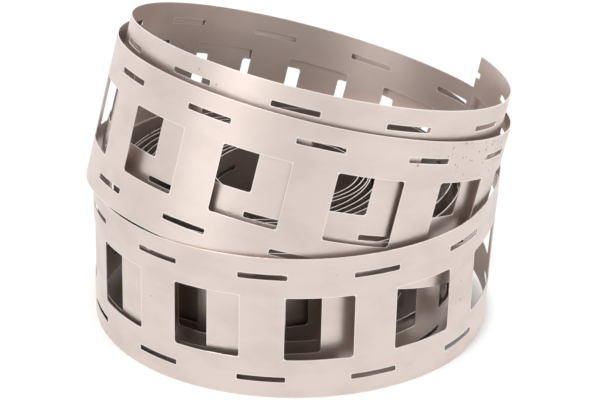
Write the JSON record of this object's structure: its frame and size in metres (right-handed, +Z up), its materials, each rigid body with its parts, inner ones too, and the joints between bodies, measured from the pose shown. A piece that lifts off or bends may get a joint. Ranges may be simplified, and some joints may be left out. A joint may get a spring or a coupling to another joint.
{
  "type": "nickel strip coil",
  "caption": "Loose coil of thin pierced nickel strip for spot welding side by side battery cells, standing on its rim with its outer turns pulled up and leaning.",
  "frame": {"origin": "middle of the coil's box, on the floor that its lowest turn stands on", "axes": "+Z up along the axis of the turns on the floor, -Y towards the viewer, +X to the right"},
  "size_m": [0.0768, 0.0782, 0.0577],
  "materials": {
    "nickel": "satin rolled nickel, warm grey, with bright sheared edges"
  },
  "bodies": {
    "root": {"nickel_strip": "nickel"}
  },
  "joints": []
}
